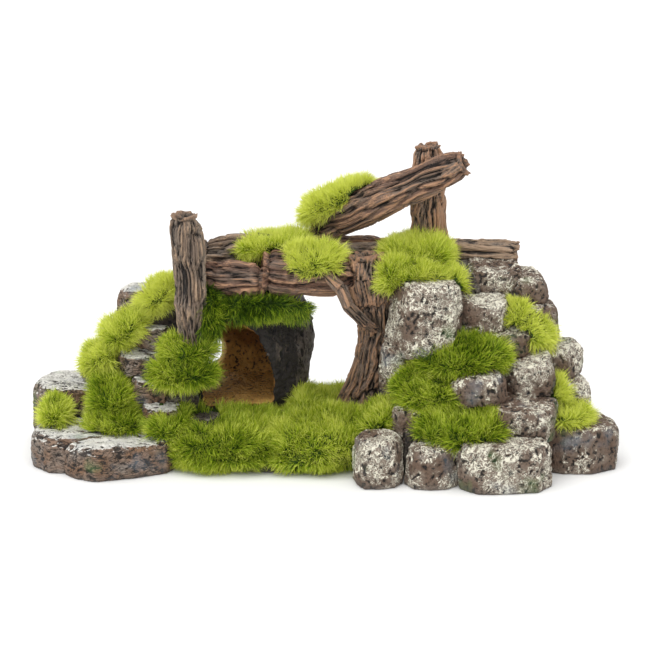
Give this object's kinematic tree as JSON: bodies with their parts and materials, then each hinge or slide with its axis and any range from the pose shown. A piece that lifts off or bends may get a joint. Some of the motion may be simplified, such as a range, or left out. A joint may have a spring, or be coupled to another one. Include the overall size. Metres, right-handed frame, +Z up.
{
  "type": "resin cave ornament",
  "caption": "Free-standing aquarium ornament: two heaps of cast stones, a small cave with a round window, a log deck over an open passage, posts, a fallen log and grass-like moss.",
  "frame": {"origin": "centre of the bounding box, on the plane the ornament stands on", "axes": "+Z up, +X along the length towards the heap with the big boulder, the front with the cave mouth faces -Y"},
  "size_m": [0.2302, 0.1098, 0.1185],
  "materials": {
    "stone_resin": "matte",
    "wood_resin": "matte",
    "cave_resin": "matte",
    "base_resin": "matte",
    "moss": "matte"
  },
  "bodies": {
    "root": {"arch_moss": "moss", "back_log": "wood_resin", "base_plate": "base_resin", "cave": "cave_resin", "centre_turf": "moss", "deck_left_moss": "moss", "deck_right_moss": "moss", "fallen_log": "wood_resin", "fallen_log_moss": "moss", "front_left_log": "wood_resin", "front_right_log": "wood_resin", "front_turf": "moss", "left_back_slab": "stone_resin", "left_corner_slab": "stone_resin", "left_edge_moss": "moss", "left_front_moss": "moss", "left_front_slab": "stone_resin", "left_heap_core": "stone_resin", "left_mouth_ledge": "stone_resin", "left_peak_moss": "moss", "left_post": "wood_resin", "left_rear_boulder": "stone_resin", "left_slope_moss": "moss", "left_step_four": "stone_resin", "left_step_one": "stone_resin", "left_step_three": "stone_resin", "left_step_two": "stone_resin", "left_top_stone": "stone_resin", "middle_log": "wood_resin", "plank_end": "wood_resin", "post_foot_moss": "moss", "rear_post": "wood_resin", "right_bank_moss": "moss", "right_end_boulder": "stone_resin", "right_end_moss": "moss", "right_end_slab": "stone_resin", "right_fifth_stone": "stone_resin", "right_fourth_slab": "stone_resin", "right_front_slab": "stone_resin", "right_front_stone": "stone_resin", "right_gate_stone": "stone_resin", "right_gate_upper_stone": "stone_resin", "right_great_boulder": "stone_resin", "right_heap_core": "stone_resin", "right_low_moss": "moss", "right_rear_boulder": "stone_resin", "right_rear_slab": "stone_resin", "right_rear_upper_boulder": "stone_resin", "right_second_slab": "stone_resin", "right_shoulder_boulder": "stone_resin", "right_shoulder_moss": "moss", "right_side_stone": "stone_resin", "right_third_slab": "stone_resin", "right_tongue_stone": "stone_resin", "right_top_moss": "moss", "right_trunk_stone": "stone_resin", "right_upper_boulder": "stone_resin", "right_upper_slab": "stone_resin", "root_branch": "wood_resin", "trunk": "wood_resin"}
  },
  "joints": []
}
